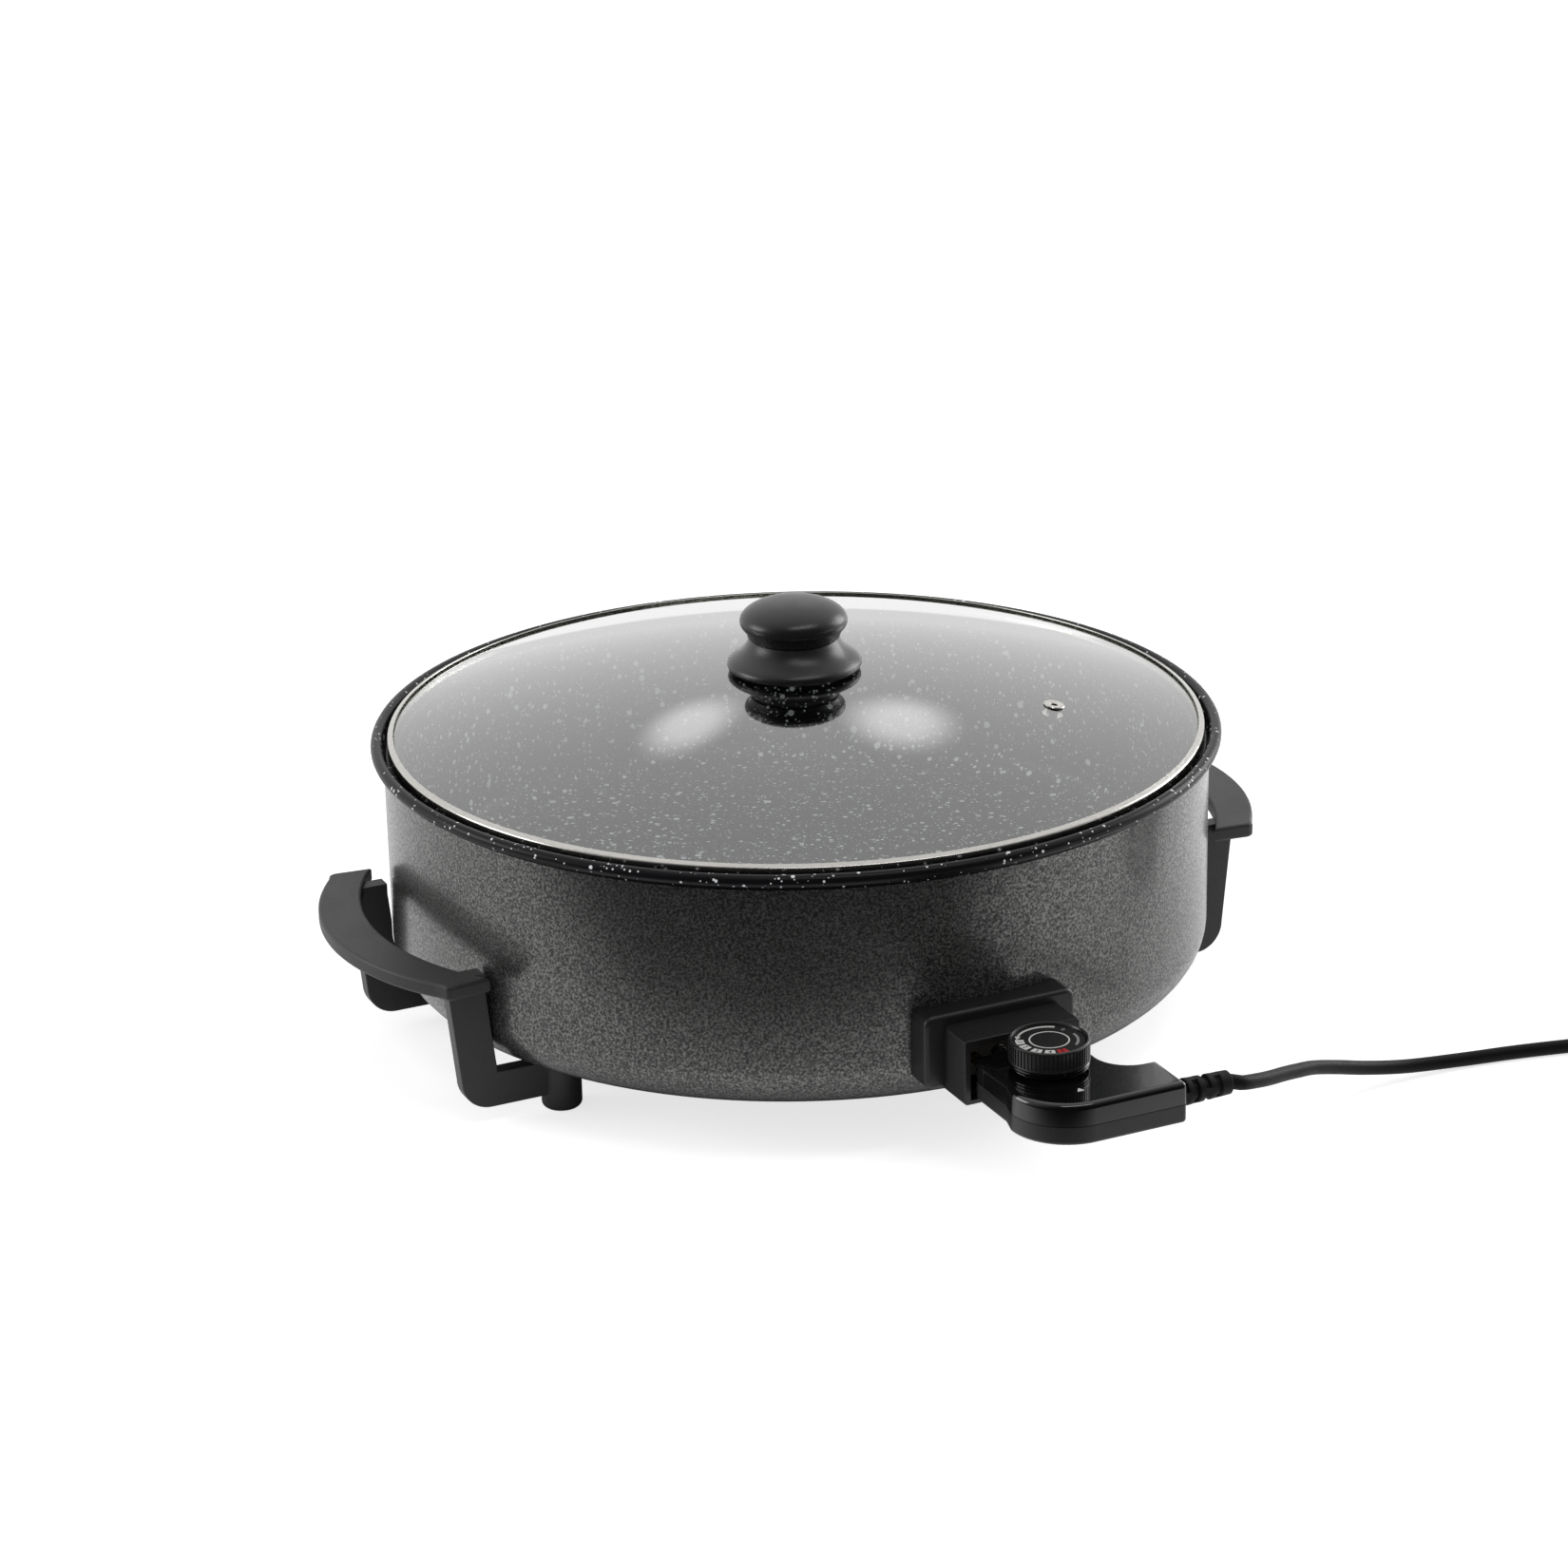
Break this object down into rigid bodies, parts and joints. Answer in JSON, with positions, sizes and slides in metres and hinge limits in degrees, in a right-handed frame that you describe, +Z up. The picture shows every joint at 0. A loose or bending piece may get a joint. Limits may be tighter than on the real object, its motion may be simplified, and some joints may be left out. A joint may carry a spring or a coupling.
{
  "type": "electric skillet",
  "caption": "Round double-walled electric skillet with a domed glass lid, side handles that end in feet, and a plug-in thermostat probe on a mains lead.",
  "frame": {"origin": "on the table, under the middle of the length and width of the skillet without its lead", "axes": "+Z up, the control socket and probe towards -Y, the handles at +X and -X"},
  "size_m": [0.723, 0.514, 0.212],
  "materials": {
    "hammered_paint": "dark grey hammer-finish paint",
    "granite_coating": "black non-stick coating with white and grey specks",
    "clear_glass": "clear tempered glass",
    "polished_steel": "polished",
    "matte_black": "black heat-proof moulding, fine matte grain",
    "gloss_black": "high gloss",
    "satin_black": "satin",
    "ceramic": "unglazed ceramic",
    "brass": "plain",
    "element_sheath": "oxidised",
    "zinc_steel": "zinc plated",
    "black_rubber": "matte",
    "cord_jacket": "smooth PVC"
  },
  "bodies": {
    "skillet": {"outer_shell": "hammered_paint", "inner_pan": "granite_coating", "heating_element": "element_sheath", "element_clip_1": "zinc_steel", "element_clip_2": "zinc_steel", "element_clip_3": "zinc_steel", "guide_clip": "zinc_steel", "socket_housing": "matte_black", "terminal_block": "ceramic", "terminal_pin_left": "brass", "terminal_pin_right": "brass", "socket_screw_left": "zinc_steel", "socket_screw_right": "zinc_steel", "sensor_guide": "zinc_steel", "handle_left": "matte_black", "handle_right": "matte_black", "foot_screw_left_front": "zinc_steel", "foot_nut_left_front": "zinc_steel", "foot_screw_left_rear": "zinc_steel", "foot_nut_left_rear": "zinc_steel", "foot_screw_right_front": "zinc_steel", "foot_nut_right_front": "zinc_steel", "foot_screw_right_rear": "zinc_steel", "foot_nut_right_rear": "zinc_steel"},
    "lid": {"lid_glass": "clear_glass", "lid_band": "polished_steel", "vent_eyelet": "polished_steel", "knob_base": "matte_black", "knob_cap": "matte_black", "knob_seal": "black_rubber", "knob_washer": "zinc_steel", "knob_screw": "zinc_steel"},
    "probe": {"probe_top_shell": "gloss_black", "probe_bottom_shell": "satin_black", "probe_screw_1": "zinc_steel", "probe_screw_2": "zinc_steel", "sensor_rod": "polished_steel", "contact_sleeve_left": "brass", "contact_sleeve_right": "brass", "thermostat_block": "ceramic", "dial_collar": "gloss_black", "strain_relief": "black_rubber", "cord_run": "cord_jacket", "cord_coil": "cord_jacket", "cord_tail": "cord_jacket", "cord_tie": "black_rubber", "plug_body": "black_rubber", "plug_pin_left": "polished_steel", "plug_pin_right": "polished_steel"},
    "dial": {"dial_cap": "gloss_black", "dial_plate": "satin_black", "dial_shaft": "brass"}
  },
  "joints": [
    {"name": "lid_lift", "type": "slide", "parent": "skillet", "child": "lid", "axis": [0, 0, 1], "range_m": [0, 0.15]},
    {"name": "probe_pull", "type": "slide", "parent": "skillet", "child": "probe", "axis": [0, -1, 0], "range_m": [0, 0.11]},
    {"name": "dial_turn", "type": "hinge", "parent": "probe", "child": "dial", "pos_m": [0, -0.214, 0.07], "axis": [0, 0, 1], "range_deg": [-10, 236]}
  ]
}
